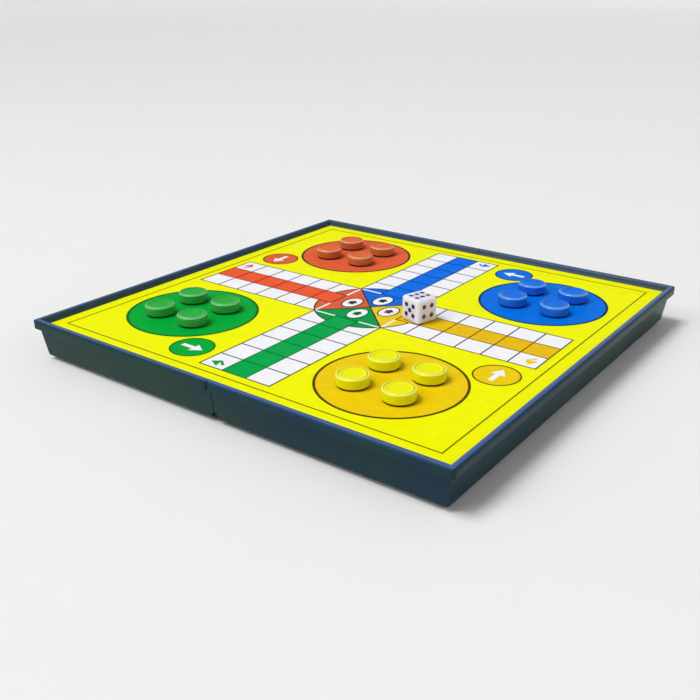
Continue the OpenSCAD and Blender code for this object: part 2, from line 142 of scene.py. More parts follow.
@dataclass(frozen=True)
class Finish:
    """A surface: what it is made of and how it was made.

    The colour drifts between two shades over a given distance, and a fine relief breaks the gloss.
    """

    name: str
    colour: str
    shade: str
    drift: float = 12.0  # mm over which the colour drifts
    grain: float = 0.5  # mm between the bumps of the relief
    relief: float = 0.004  # mm high
    roughness: float = 0.4
    roughness_drift: float = 0.06
    ior: float = 1.5
    specular: float = 0.5
    metallic: float = 0.0
    subsurface: float = 0.0
    scatter: float = 0.6  # mm that light travels in it
    tint: str = "#FFFFFF"
    stretch: tuple[float, float, float] = (1.0, 1.0, 1.0)

    def material(self) -> bpy.types.Material:
        """The finish as a material, made once.

        Returns:
            The material that holds this finish's nodes.
        """
        if self.name in MADE:
            return MADE[self.name]
        made = MADE[self.name] = bpy.data.materials.new(self.name)
        made.use_nodes = True
        made.diffuse_color = linear(self.colour)
        tree = made.node_tree
        tree.nodes.clear()
        place = add_node(tree, "ShaderNodeTexCoord").outputs["Object"]
        place = add_node(tree, "ShaderNodeMapping", {"Vector": place, "Scale": self.stretch}).outputs[0]
        cloud = add_node(tree, "ShaderNodeTexNoise", {
            "Vector": place, "Scale": 1 / (self.drift * MM), "Detail": 3.0, "Roughness": 0.5})
        fine = add_node(tree, "ShaderNodeTexNoise", {
            "Vector": place, "Scale": 1 / (self.grain * MM), "Detail": 2.0, "Roughness": 0.5})
        drift = {"Value": cloud.outputs[0], "From Min": CLOUD[0], "From Max": CLOUD[1]}
        colour = add_node(tree, "ShaderNodeMix", {
            0: add_node(tree, "ShaderNodeMapRange", drift).outputs[0],
            6: linear(self.colour), 7: linear(self.shade)}, data_type="RGBA")
        rough = add_node(tree, "ShaderNodeMapRange", {
            **drift, "To Min": self.roughness - self.roughness_drift,
            "To Max": self.roughness + self.roughness_drift})
        bump = add_node(tree, "ShaderNodeBump", {
            "Height": fine.outputs[0], "Strength": 1.0, "Distance": self.relief * MM})
        shader = add_node(tree, "ShaderNodeBsdfPrincipled", {
            "Base Color": self.colour_socket(tree, place, colour.outputs[2]),
            "Roughness": rough.outputs[0], "Normal": bump.outputs[0], "Metallic": self.metallic,
            "IOR": self.ior, "Specular IOR Level": self.specular,
            "Specular Tint": self.tint_socket(tree, place), "Subsurface Weight": self.subsurface,
            "Subsurface Radius": (1.0, 1.0, 1.0), "Subsurface Scale": self.scatter * MM})
        add_node(tree, "ShaderNodeOutputMaterial", {"Surface": shader.outputs[0]})
        return made

    def colour_socket(self, tree: Tree, place: Socket, colour: Socket) -> Socket:
        """The base colour at a place, from the drifting one; finishes with more to show add to it."""
        return colour

    def tint_socket(self, tree: Tree, place: Socket) -> object:
        """The tint of the gloss; a value, or a socket in finishes where it changes."""
        return linear(self.tint)


def mixed(text: str, other: str, share: float) -> str:
    """Mixes an sRGB hex value with a share of another."""
    parts = [(int(text[i:i + 2], 16), int(other[i:i + 2], 16)) for i in (1, 3, 5)]
    return "#" + "".join(f"{round(a + (b - a) * share):02X}" for a, b in parts)


def paint(piece: Piece, *finishes: Finish) -> None:
    """Adds finishes to a piece, in the order of its faces' material numbers."""
    for finish in finishes:
        piece.data.materials.append(finish.material())


@dataclass(frozen=True)
class PrintedInk(Finish):
    """Screen ink on a vinyl sheet under a matt varnish: even colour that lies a little thicker in places."""

    drift: float = 3.0
    grain: float = 0.9
    relief: float = 0.006
    roughness: float = 0.5
    roughness_drift: float = 0.05
    specular: float = 0.03


def ink(name: str, colour: str, lies: float = 0.035) -> PrintedInk:
    """An ink by its name and colour, with its thicker places darker by a share."""
    return PrintedInk(f"{name}_ink", colour, mixed(colour, "#000000", lies))


@dataclass(frozen=True)
class PawnPlastic(Finish):
    """Polystyrene from a polished mould: clean gloss, light scatters a little way into it."""

    drift: float = 5.0
    grain: float = 1.8
    relief: float = 0.003
    roughness: float = 0.2
    roughness_drift: float = 0.03
    ior: float = 1.59
    specular: float = 0.3
    subsurface: float = 0.1


@dataclass(frozen=True)
class PawnTop(PawnPlastic):
    """The same plastic on the top, where the mould was blasted: an even satin that keeps the colour deep."""

    roughness: float = 0.42
    specular: float = 0.03


@dataclass(frozen=True)
class BuffedEdge(PawnPlastic):
    """The same plastic on the rounded edge, glossier, with a painted highlight: its colour is paled towards
    white.
    """

    roughness: float = 0.14
    specular: float = 0.6


@dataclass(frozen=True)
class GrooveFloor(PawnPlastic):
    """The same plastic, dull, with painted shade: its colour darkened in the fine ring and on the set-back
    foot.
    """

    roughness: float = 0.5


@dataclass(frozen=True)
class CasePlastic(Finish):
    """High-impact polystyrene from a satin mould: slate green walls, with navy painted at the rim as a
    reflection.

    Above the rim height the colour turns navy, a painted reflection of bluish light, and the gloss is tinted
    bluish; the walls stay softer.
    """

    # Navy above the rim height: painted reflection
    rim_colour: str = "#1E3C60"
    rim_tint: str = "#AAB6F4"
    rim_height: float = 12.6  # mm
    blend: float = 0.8  # mm

    def by_height(self, tree: Tree, place: Socket, wall: object, rim: str) -> Socket:
        """Lets the walls' look pass into the rim's, going up.

        Args:
            tree: The material's tree.
            place: The object's own coordinates.
            wall: The walls' colour or socket.
            rim: The rim's hex value.

        Returns:
            The mixed colour's socket.
        """
        height = add_node(tree, "ShaderNodeSeparateXYZ", {0: place}).outputs["Z"]
        low = self.rim_height * MM
        share = add_node(tree, "ShaderNodeMapRange", {
            "Value": height, "From Min": low, "From Max": low + self.blend * MM}).outputs[0]
        return add_node(tree, "ShaderNodeMix", {
            0: share, 6: wall, 7: linear(rim)}, data_type="RGBA").outputs[2]

    def colour_socket(self, tree: Tree, place: Socket, colour: Socket) -> Socket:
        """The walls' drifting colour, and the rim's painted reflection colour above it."""
        return self.by_height(tree, place, colour, self.rim_colour)

    def tint_socket(self, tree: Tree, place: Socket) -> object:
        """The walls' clear gloss, and the rim's bluish one above it."""
        return self.by_height(tree, place, linear(self.tint), self.rim_tint)


CASE_PLASTIC = CasePlastic(
    # Dark slate with soft green and navy clouds
    "case_polystyrene", "#1C3E2E", "#163244", drift=30, grain=0.35, relief=0.006,
    roughness=0.34, roughness_drift=0.05, ior=1.59, specular=0.1)
RIM_PAINTED_HIGHLIGHT = Finish(
    # The same plastic along the rim's top, glossier, with a painted highlight: a lighter steel blue line
    "case_rim_polish", "#465F78", "#465EA0", drift=34, grain=0.5, relief=0.003,
    roughness=0.2, roughness_drift=0.04, ior=1.59, specular=0.16, tint="#C4CCF6")
RIM_INSIDE_PAINTED_LIGHT = Finish(
    # The same plastic on the rim's inner side, lightened to a greyer slate blue: painted light, for the light
    # the print throws on it
    "case_rim_inside", "#33484E", "#2E4260", drift=30, grain=0.35, relief=0.005,
    roughness=0.32, roughness_drift=0.05, ior=1.59, specular=0.12)
TINPLATE = Finish(
    # Tin-plated steel sheet: bright, with the rolling's fine lines along the fold
    "tinplate", "#B9BCBF", "#A7ABAF", drift=8, grain=0.12, relief=0.003, roughness=0.28,
    metallic=1.0, stretch=(1, 0.05, 1))
DRAWN_WIRE = Finish(
    # Bright drawn steel wire: fine lines along its length
    "drawn_steel_wire", "#C8CACD", "#B4B7BB", drift=3, grain=0.08, relief=0.002, roughness=0.25,
    metallic=1.0, stretch=(1, 0.04, 1))
VINYL = Finish(
    # White PVC sheet: smooth, seen only at its cut edge
    "white_vinyl", "#F2F2F0", "#E9E9E6", drift=9, grain=0.6, relief=0.003, roughness=0.42,
    roughness_drift=0.04, ior=1.53)
FERRITE = Finish(
    # Sintered ferrite, ground flat: dull dark grey with a coarse grain
    "sintered_ferrite", "#38383B", "#29292C", drift=1.2, grain=0.15, relief=0.012, roughness=0.62,
    roughness_drift=0.08, ior=1.8)
DIE_PLASTIC = Finish(
    # Tumbled acrylic: milky white with a soft gloss, light scatters in it
    "die_acrylic", "#ECEAFC", "#E5E3F6", drift=3.5, grain=1.6, relief=0.008, roughness=0.24,
    roughness_drift=0.04, ior=1.49, subsurface=0.85, scatter=3.0)
BLUE_PAINT = Finish(
    # Lacquer dropped into the pips, violet blue
    "blue_pip_lacquer", "#2E2870", "#383080", drift=0.8, grain=0.4, relief=0.008, roughness=0.35,
    specular=0.2)
RED_PAINT = Finish(
    # Lacquer dropped into the pips, brown red
    "red_pip_lacquer", "#7A444E", "#86505A", drift=0.8, grain=0.4, relief=0.008, roughness=0.35,
    specular=0.2)

YELLOW_INK = ink("yellow_ground", "#F0F200", 0.02)
WHITE_INK = ink("white_cell", "#F1F1F6", 0.02)


@dataclass(frozen=True)
class TeamColours:
    """All shades of one colour: its inks, its lines and its pawns."""

    yard: PrintedInk
    column: PrintedInk
    hub: PrintedInk
    column_line: PrintedInk
    outline: PrintedInk
    pawn: PawnPlastic
    top: PawnTop
    edge: BuffedEdge
    groove: GrooveFloor
    foot: GrooveFloor


def team_colours(word: str, shades: Sequence[str]) -> TeamColours:
    """Makes the finishes of one colour.

    Args:
        word: The colour's name.
        shades: Hex values of yard, column, hub, column line, outline, pawn side with painted light, its drift
            and the top.

    Returns:
        The finishes.
    """
    *printed, pawn, pawn_shade, top = shades
    parts = ("yard", "column", "hub", "column_line", "outline")
    return TeamColours(
        *(ink(f"{word}_{part}", shade) for part, shade in zip(parts, printed)),
        PawnPlastic(f"{word}_pawn_polystyrene", pawn, pawn_shade),
        PawnTop(f"{word}_pawn_top", mixed(top, "#FFFFFF", 0.04), top),
        # The rounded edge: the top's colour paled towards white, a painted highlight
        BuffedEdge(
            f"{word}_pawn_edge", mixed(top, "#FFFFFF", 0.38), mixed(top, "#FFFFFF", 0.32),
            tint=mixed(top, "#FFFFFF", 0.6)),
        # The fine ring: the side's colour darkened, painted shade
        GrooveFloor(f"{word}_pawn_groove", mixed(pawn, "#000000", 0.22), mixed(pawn, "#000000", 0.15)),
        # The set-back foot: the side's colour darkened most, a painted contact shadow
        GrooveFloor(f"{word}_pawn_foot", mixed(pawn, "#000000", 0.74), mixed(pawn, "#000000", 0.68)))


# Each pawn's side colour is set apart from its top's to stand for the light on the sides: painted light
TEAM_COLOURS = {
    Team.GREEN: team_colours(
        "green", ("#00A838", "#00A54C", "#00984A", "#00782A", "#0B6420", "#38AA4A", "#30A242", "#26A83A")),
    Team.RED: team_colours(
        "red", ("#E0603A", "#EC5A32", "#DA6040", "#8E2A18", "#4A3024", "#C66C3A", "#BC6436", "#D86434")),
    Team.BLUE: team_colours(
        "blue", ("#0070E0", "#006EE6", "#0A68D8", "#003C9A", "#06305E", "#1E70DC", "#1868D2", "#0E6ADE")),
    Team.YELLOW: team_colours(
        "yellow", ("#EDCB0A", "#E8BC10", "#E8C81C", "#7E6408", "#54420A", "#E8E808", "#E0E006", "#E8E808")),
}


class LineShade(Enum):
    """Lines that don't belong to one colour."""

    ON_WHITE = ink("cell_line", "#4E485A")
    ARM_EDGE = ink("arm_edge", "#5C5816")
    BORDER = ink("border", "#7E7C06")
    DARK = ink("dark_line", "#2C2622")


def merged_copy(node: str) -> Shape:
    """Copies a CAD node's loose triangles and joins them to whole faces.

    Args:
        node: Name of the CAD node.

    Returns:
        A new mesh for editing, in the row frame.
    """
    shape = bmesh.new()
    shape.from_mesh(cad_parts[node].data)
    bmesh.ops.remove_doubles(shape, verts=shape.verts, dist=SAME)
    bmesh.ops.dissolve_limit(
        shape, angle_limit=FLAT, verts=shape.verts, edges=shape.edges, use_dissolve_boundaries=False)
    return shape


def in_scene(name: str, data: bpy.types.ID) -> bpy.types.Object:
    """Makes an object of a mesh, a lamp or a camera and links it to the scene.

    Args:
        name: The object's name.
        data: What it holds.

    Returns:
        The object.
    """
    made = bpy.data.objects.new(name, data)
    bpy.context.scene.collection.objects.link(made)
    return made


def look(thing: bpy.types.Object, way: Vector) -> None:
    """Turns a camera or a lamp to look one way."""
    thing.rotation_mode = "QUATERNION"
    thing.rotation_quaternion = way.to_track_quat("-Z", "Y")


def new_piece(name: str, shape: Shape) -> Piece:
    """Makes an object of an edited mesh and frees the latter.

    Args:
        name: Name of the piece.
        shape: Its mesh, in the row frame.

    Returns:
        The object, linked to the scene.
    """
    mesh = bpy.data.meshes.new(name)
    shape.to_mesh(mesh)
    shape.free()
    return in_scene(name, mesh)


def keep_result(piece: Piece) -> Piece:
    """Turns a piece and its modifiers into a plain mesh.

    Args:
        piece: The piece with its modifiers.

    Returns:
        The same piece, with the result as its mesh.
    """
    graph = bpy.context.evaluated_depsgraph_get()
    result = bpy.data.meshes.new_from_object(piece.evaluated_get(graph), depsgraph=graph)
    piece.modifiers.clear()
    piece.data = result
    result.name = piece.name
    return piece


def smooth(piece: Piece, angle: float = 32.0) -> None:
    """Shades a piece smooth, but for edges sharper than an angle in degrees."""
    piece.data.polygons.foreach_set("use_smooth", [True] * len(piece.data.polygons))
    piece.data.set_sharp_from_angle(angle=math.radians(angle))


def point_outwards(piece: Piece) -> None:
    """Turns the faces of a closed piece outwards.

    Args:
        piece: The piece.
    """
    shape = bmesh.new()
    shape.from_mesh(piece.data)
    bmesh.ops.recalc_face_normals(shape, faces=shape.faces)
    shape.to_mesh(piece.data)
    shape.free()


def settle(piece: Piece, body: str, slot: Optional[str] = None, *nodes: str) -> Piece:
    """Puts a finished piece on its body in place of its CAD nodes.

    Args:
        piece: The finished piece.
        body: The CAD body it rides on.
        slot: Not used.
        *nodes: The CAD nodes it stands for.

    Returns:
        The piece.
    """
    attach(piece, body)
    if nodes:
        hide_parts(*nodes)
    LOG.info("%s: %d faces on %s", piece.name, len(piece.data.polygons), body)
    return piece


def dress_node(node: str, finish: Finish) -> None:
    """Gives a CAD node that stays its finish.

    Args:
        node: Name of the CAD node.
        finish: Its finish.
    """
    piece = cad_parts[node]
    piece.data.materials.clear()
    paint(piece, finish)
    LOG.info("%s: CAD node in %s", node, finish.name)


class ShapeTree:
    """A Geometry Nodes tree with named inputs, run on an empty mesh and kept as a plain one."""

    def __init__(self, name: str, inputs: dict[str, str]) -> None:
        """Starts the tree; an object that is given comes in as its geometry.

        Args:
            name: Name of the tree.
            inputs: The kind of socket for each named input, apart from place and finish.
        """
        self.tree = bpy.data.node_groups.new(name, "GeometryNodeTree")
        inputs = {**inputs, "Place": "Vector", "Finish": "Material"}
        for label, kind in inputs.items():
            self.tree.interface.new_socket(name=label, in_out="INPUT", socket_type=f"NodeSocket{kind}")
        self.tree.interface.new_socket(name="Geometry", in_out="OUTPUT", socket_type="NodeSocketGeometry")
        outputs = self.add("NodeGroupInput").outputs
        self.given: dict[str, Socket] = {label: outputs[label] for label in inputs}
        for label, kind in inputs.items():
            if kind == "Object":
                self.given[label] = self.add(
                    "GeometryNodeObjectInfo", {"Object": outputs[label]}).outputs["Geometry"]

    def add(self, kind: str, inputs: Optional[dict] = None, **settings: object) -> bpy.types.Node:
        """Adds a node to the tree, as add_node does."""
        return add_node(self.tree, kind, inputs, **settings)

    def calculate(self, value: object, *steps: tuple[str, object]) -> Socket:
        """Adds steps of arithmetic.

        Args:
            value: The first value or socket.
            *steps: Each step's operation and its second value or socket.

        Returns:
            The last result's socket.
        """
        for operation, other in steps:
            value = self.add("ShaderNodeMath", {0: value, 1: other}, operation=operation).outputs[0]
        return value

    def close(self, geometry: Socket) -> None:
        """Ends the tree: the shape put in its place, instances made real, then the finish.

        Args:
            geometry: What the tree made.
        """
        turn = {"Rotation": self.given["Turn"]} if "Turn" in self.given else {}
        placed = self.add("GeometryNodeTransform", {
            "Geometry": geometry, "Translation": self.given["Place"], **turn}).outputs[0]
        real = self.add("GeometryNodeRealizeInstances", {"Geometry": placed}).outputs[0]
        dressed = self.add("GeometryNodeSetMaterial", {"Geometry": real, "Material": self.given["Finish"]})
        self.add("NodeGroupOutput", {"Geometry": dressed.outputs[0]})

    def run(self, name: str, values: dict[str, object]) -> Piece:
        """Runs the tree with its inputs set.

        Args:
            name: Name of the piece.
            values: A value for each named input.

        Returns:
            The piece as a plain mesh with its faces outwards.
        """
        piece = new_piece(name, bmesh.new())
        modifier = piece.modifiers.new("Shape", "NODES")
        modifier.node_group = self.tree
        for item in self.tree.interface.items_tree:
            if item.item_type == "SOCKET" and item.in_out == "INPUT":
                modifier[item.identifier] = values[item.name]
        keep_result(piece)
        piece.data.materials.clear()
        piece.data.materials.append(values["Finish"])
        piece.data.polygons.foreach_set("material_index", [0] * len(piece.data.polygons))
        point_outwards(piece)
        smooth(piece)
        return piece


def turned_tree() -> ShapeTree:
    """The tree that turns a profile about the Z axis, as a lathe does, and puts it in its place.

    Returns:
        The tree. Its profile is a mesh whose points lie in order at (radius, 0, height).
    """
    lathe = ShapeTree("turned_shape", {"Profile": "Object", "Segments": "Int", "Turn": "Vector"})
    profile, segments = lathe.given["Profile"], lathe.given["Segments"]
    count = lathe.add("GeometryNodeAttributeDomainSize", {"Geometry": profile}).outputs["Point Count"]
    grid = lathe.add("GeometryNodeMeshGrid", {
        "Vertices X": lathe.calculate(segments, ("ADD", 1.0)), "Vertices Y": count})
    index = lathe.add("GeometryNodeInputIndex").outputs[0]
    column = lathe.calculate(index, ("ADD", 0.5), ("DIVIDE", count), ("FLOOR", 0.0))
    before = lathe.calculate(column, ("MULTIPLY", count))
    point = lathe.add("GeometryNodeSampleIndex", {
        "Geometry": profile, "Value": lathe.add("GeometryNodeInputPosition").outputs[0],
        "Index": lathe.calculate(index, ("SUBTRACT", before), ("ROUND", 0.0))},
        data_type="FLOAT_VECTOR", domain="POINT")
    angle = lathe.calculate(column, ("MULTIPLY", 2 * math.pi), ("DIVIDE", segments))
    turned = lathe.add("ShaderNodeVectorRotate", {
        "Vector": point.outputs[0], "Angle": angle}, rotation_type="Z_AXIS")
    shaped = lathe.add("GeometryNodeSetPosition", {
        "Geometry": grid.outputs["Mesh"], "Position": turned.outputs[0]})
    lathe.close(lathe.add("GeometryNodeMergeByDistance", {
        "Geometry": shaped.outputs[0], "Distance": SAME / 2}).outputs[0])
    return lathe


def scatter_tree() -> ShapeTree:
    """The tree that sets copies of a shape on points, standing along each point's normal.

    Returns:
        The tree. Shape stands on the origin along +Z, and Points is a mesh of small flat faces.
    """
    spread = ShapeTree("shapes_on_points", {"Shape": "Object", "Points": "Object", "Turn": "Vector"})
    normal = spread.add("GeometryNodeInputNormal").outputs[0]
    kept = spread.add("GeometryNodeCaptureAttribute", {"Geometry": spread.given["Points"]}, domain="FACE")
    kept.capture_items.new("VECTOR", "Normal")
    spread.tree.links.new(normal, kept.inputs["Normal"])
    points = spread.add("GeometryNodeMeshToPoints", {"Mesh": kept.outputs["Geometry"]}, mode="FACES")
    along = spread.add("FunctionNodeAlignRotationToVector", {"Vector": kept.outputs["Normal"]}, axis="Z")
    spread.close(spread.add("GeometryNodeInstanceOnPoints", {
        "Points": points.outputs[0], "Instance": spread.given["Shape"],
        "Rotation": along.outputs[0]}).outputs[0])
    return spread


def grid_tree() -> ShapeTree:
    """The tree that sets copies of a shape in a grid, upside down.

    Returns:
        The tree. Shape stands on the origin along +Z; Place is the grid's middle.
    """
    rows = ShapeTree("shapes_in_a_grid", {
        "Shape": "Object", "Columns": "Int", "Rows": "Int", "Width": "Float", "Depth": "Float"})
    grid = rows.add("GeometryNodeMeshGrid", {
        "Size X": rows.given["Width"], "Size Y": rows.given["Depth"],
        "Vertices X": rows.given["Columns"], "Vertices Y": rows.given["Rows"]}).outputs["Mesh"]
    rows.close(rows.add("GeometryNodeInstanceOnPoints", {
        "Points": grid, "Instance": rows.given["Shape"], "Rotation": (math.pi, 0.0, 0.0)}).outputs[0])
    return rows


def arc(centre: Point, radius: float, start: float, end: float, steps: int) -> list[Point]:
    """Points of an arc between two angles in degrees, both ends included."""
    angles = [math.radians(start + (end - start) * i / steps) for i in range(steps + 1)]
    return [(centre[0] + radius * math.cos(a), centre[1] + radius * math.sin(a)) for a in angles]


def rod(radius: float, low: float, high: float, chip: float) -> list[Point]:
    """The profile of a cylinder between two heights, with both edges broken."""
    return [(0, low), (radius - chip, low), (radius, low + chip), (radius, high - chip),
            (radius - chip, high), (0, high)]


@dataclass
class Lathe:
    """Makes turned pieces from profiles in millimetres."""

    tree: ShapeTree = field(default_factory=turned_tree)

    def turn(
        self, name: str, profile: Iterable[Point], finish: Finish, place: Vector,
        turn: tuple[float, float, float] = (0.0, 0.0, 0.0), segments: int = 96,
    ) -> Piece:
        """Turns a profile.

        Args:
            name: Name of the piece.
            profile: Radius and height of each point, in millimetres.
            finish: The piece's finish.
            place: Where the profile's origin goes.
            turn: Turn about the three axes, before it is placed.
            segments: Steps round the axis.

        Returns:
            The piece.
        """
        mesh = bpy.data.meshes.new(f"{name}_profile")
        mesh.from_pydata([(r * MM, 0.0, z * MM) for r, z in profile], [], [])
        pattern = in_scene(mesh.name, mesh)
        piece = self.tree.run(name, {
            "Profile": pattern, "Segments": segments, "Turn": turn, "Place": place,
            "Finish": finish.material()})
        bpy.data.objects.remove(pattern)
        return piece


@dataclass
class CaseHalf:
    """One moulded half of the case, with softened edges and the marks of the ejector pins."""

    side: Side
    edge_radius: float = 0.12  # mm, on every edge of the moulding
    edge_steps: int = 3
    edge_angle: float = 28.0  # degrees; flatter edges stay as they are
    rim_top: float = 13.2  # mm, above this only the rim's top lies
    facing_up: float = 0.4  # least upward share of a top face's direction
    board: float = 11.4  # mm, height of the playing surface
    deck: float = 9.65  # mm, underside of the deck
    pin_radius: float = 2.2
    pin_step: float = 0.1  # mm that a pin's mark stands out
    pin_root: float = 0.02  # mm that it reaches into the deck
    pin_segments: int = 40
    pins: tuple[int, int] = (3, 5)
    pin_span: tuple[float, float] = (50.0, 118.0)
    pin_middle: float = 37.0  # mm from the fold line

    def build(self, lathe: Lathe, rows: ShapeTree) -> None:
        """Makes the half with its marks."""
        self.shell()
        self.ejector_marks(lathe, rows)

    def ejector_marks(self, lathe: Lathe, rows: ShapeTree) -> None:
        """Sets the rings that the mould's ejector pins leave under the deck.

        Args:
            lathe: Turns one mark.
            rows: Sets the marks in a grid.
        """
        r, step, root, hollow = self.pin_radius, self.pin_step, -self.pin_root, 0.3 * self.pin_step
        ring = [(0, root), (r, root), (r, 0.6 * step), (r - 0.05, step), (r - 0.2, step),
                (r - 0.3, hollow), (0.4, hollow), (0, hollow)]
        mark = lathe.turn("ejector_mark", ring, CASE_PLASTIC, Vector(), segments=self.pin_segments)
        sign = -1 if self.side is Side.LEFT else 1
        piece = rows.run(f"{self.side.value}_ejector_marks", {
            "Shape": mark, "Columns": self.pins[0], "Rows": self.pins[1], "Width": self.pin_span[0] * MM,
            "Depth": self.pin_span[1] * MM, "Place": Vector((sign * self.pin_middle, 0, self.deck)) * MM,
            "Finish": CASE_PLASTIC.material()})
        bpy.data.objects.remove(mark)
        settle(piece, self.side.body, "case_plastic")

    def shell(self) -> None:
        """Makes the shell from its CAD solid and rounds its edges."""
        node = f"{self.side.value}_shell"
        piece = new_piece(f"{self.side.value}_case", merged_copy(node))
        paint(piece, CASE_PLASTIC)
        bevel = piece.modifiers.new("Edges", "BEVEL")
        bevel.width = self.edge_radius * MM
        bevel.segments = self.edge_steps
        bevel.limit_method = "ANGLE"
        bevel.angle_limit = math.radians(self.edge_angle)
        bevel.use_clamp_overlap = False
        keep_result(piece)
        smooth(piece)
        paint(piece, RIM_PAINTED_HIGHLIGHT, RIM_INSIDE_PAINTED_LIGHT)
        for face in piece.data.polygons:
            outward = face.normal.dot(Vector((face.center.x, face.center.y, 0.0)))
            # The rim's top: painted highlight
            if face.center.z > self.rim_top * MM and face.normal.z > self.facing_up:
                face.material_index = 1
            # The rim's inner side over the print: painted light
            elif face.center.z > self.board * MM and outward < 0:
                face.material_index = 2
        even = piece.modifiers.new("Even shading", "WEIGHTED_NORMAL")
        even.keep_sharp, even.weight = True, 100
        keep_result(piece)
        settle(piece, self.side.body, "case_plastic", node)


@dataclass
class PlaySurface:
    """The steel plate, the sheet and the print of one half."""

    side: Side
    line_width: float = 0.42  # mm
    seam: float = 0.02  # mm from the fold line to the print's edge
    fold_zone: float = 0.1  # mm from the fold line; the print's edge there lies within it
    ring: float = HUB * math.sqrt(2)  # squares, as are all below; radius of the centre's ring
    ring_line: float = 0.06  # the ring's line lies within this
    hub_reach: float = 2.2  # the centre's fields lie within this
    hub_line_reach: float = 2.3  # and the centre's lines within this
    sign_reach: float = 1.45  # the small sign of each colour in the centre lies within this
    sign_half: float = 0.45  # half the sign's width
    diagonal_line: float = 0.08  # a diagonal's line lies within this
    slack: float = 0.02  # beside the arms' long edges
    border_slack: float = 0.1  # between the arms' ends and the border

    def build(self) -> None:
        """Dresses the plain layers and makes the coloured ones again, zone by zone."""
        word = self.side.value
        dress_node(f"{word}_steel_plate", TINPLATE)
        dress_node(f"{word}_play_sheet", VINYL)
        for name, finish in (("yellow", YELLOW_INK), ("white", WHITE_INK)):
            self.zoned(
                f"{word}_{name}_print", f"{word}_{name}_ground", (),
                lambda x, y, it=finish: it, f"{name}_ink")
        for team in Team:
            name = "gold" if team is Team.YELLOW else team.word
            if f"{word}_{name}_print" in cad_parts:
                self.field(team, name)
        self.lines()

    def zoned(
        self, node: str, name: str, cuts: Sequence[float],
        shade_at: Callable[[float, float], PrintedInk], slot: str,
    ) -> None:
        """Copies a printed layer, cuts it into zones and gives each zone its ink.

        Args:
            node: The CAD node.
            name: Name of the piece.
            cuts: Distances from both middle lines at which it is cut, in squares.
            shade_at: The ink at a point, given in squares.
            slot: Name of its material slot, handed on to settle.
        """
        shape = merged_copy(node)
        for vert in shape.verts:
            if abs(vert.co.x) < self.fold_zone * MM:
                vert.co.x = math.copysign(self.seam * MM, vert.co.x)
        for axis in (Vector((1, 0, 0)), Vector((0, 1, 0))):
            for cut in cuts:
                for sign in (-1, 1):
                    bmesh.ops.bisect_plane(
                        shape, geom=shape.verts[:] + shape.edges[:] + shape.faces[:], dist=SAME / 10,
                        plane_co=axis * cut * sign * CELL, plane_no=axis)
        inks: list[PrintedInk] = []
        for face in shape.faces:
            middle = face.calc_center_median_weighted() / CELL
            found = shade_at(middle.x, middle.y)
            if found not in inks:
                inks.append(found)
            face.material_index = inks.index(found)
        piece = new_piece(name, shape)
        paint(piece, *inks)
        settle(piece, self.side.body, slot, node)

    def field(self, team: Team, word: str) -> None:
        """Makes one colour's fields: its circle and disc, its column and its part of the centre.

        Args:
            team: The colour.
            word: The CAD's word for its ink.
        """
        colours = TEAM_COLOURS[team]

        def shade_at(x: float, y: float) -> PrintedInk:
            """The ink of a field at a point.

            Args:
                x: Across the board, in squares.
                y: Along the fold, in squares.

            Returns:
                The ink.
            """
            across, along = team.to_front(x, y)
            if along < -HUB and abs(across) < 0.5:
                return colours.column
            if math.hypot(across, along) < self.hub_reach:
                return colours.hub
            return colours.yard

        self.zoned(
            f"{self.side.value}_{word}_print", f"{self.side.value}_{team.word}_fields", (0.5, HUB), shade_at,
            f"{word}_ink")

    def lines(self) -> None:
        """Makes the lines; each takes the shade that thin dark ink gives on what is under it."""
        half = self.line_width * MM / 2 / CELL
        cuts = [0.5 - half, 0.5 + half, HUB - half, HUB + half, ARM - half]

        def shade_at(x: float, y: float) -> PrintedInk:
            """The ink of a line at a point.

            Args:
                x: Across the board, in squares.
                y: Along the fold, in squares.

            Returns:
                The ink.
            """
            if max(abs(x), abs(y)) > ARM + half + self.border_slack:
                return LineShade.BORDER.value
            team = next(t for t in Team if abs(t.to_front(x, y)[0]) <= -t.to_front(x, y)[1] + 1e-9)
            across, along = team.to_front(x, y)
            across, out, colours = abs(across), math.hypot(across, along), TEAM_COLOURS[team]
            if across < 0.5 + half and -ARM - half < along < -HUB + half:
                return colours.column_line
            if out < self.sign_reach and across < self.sign_half:
                on_diagonal = abs(across - abs(along)) < self.diagonal_line
                return LineShade.DARK.value if on_diagonal else colours.outline
            if across < HUB - half and along < -HUB:
                on_ring = abs(out - self.ring) < self.ring_line
                return LineShade.DARK.value if on_ring else LineShade.ON_WHITE.value
            if across < HUB + half + self.slack and along < -HUB:
                return LineShade.ARM_EDGE.value
            if out < self.hub_line_reach:
                return LineShade.DARK.value
            owner = (Team.RED if y >= 0 else Team.GREEN) if x < 0 else (Team.BLUE if y > 0 else Team.YELLOW)
            return TEAM_COLOURS[owner].outline

        self.zoned(
            f"{self.side.value}_line_print", f"{self.side.value}_line_work", cuts, shade_at, "line_ink")


@dataclass
class HingePin:
    """A steel pin with chamfered ends."""

    node: str
    radius: float = 0.5  # mm
    chamfer: float = 0.1  # mm
    segments: int = 32

    def build(self, lathe: Lathe) -> None:
        """Turns the pin to the CAD pin's length.

        Args:
            lathe: Turns the profile.
        """
        low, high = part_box(self.node)
        half = (high.y - low.y) / 2 / MM
        piece = lathe.turn(
            f"{self.node}_turned", rod(self.radius, -half, half, self.chamfer), DRAWN_WIRE,
            (low + high) / 2, (math.pi / 2, 0.0, 0.0), self.segments)
        settle(piece, Side.LEFT.body, "steel_pin", self.node)


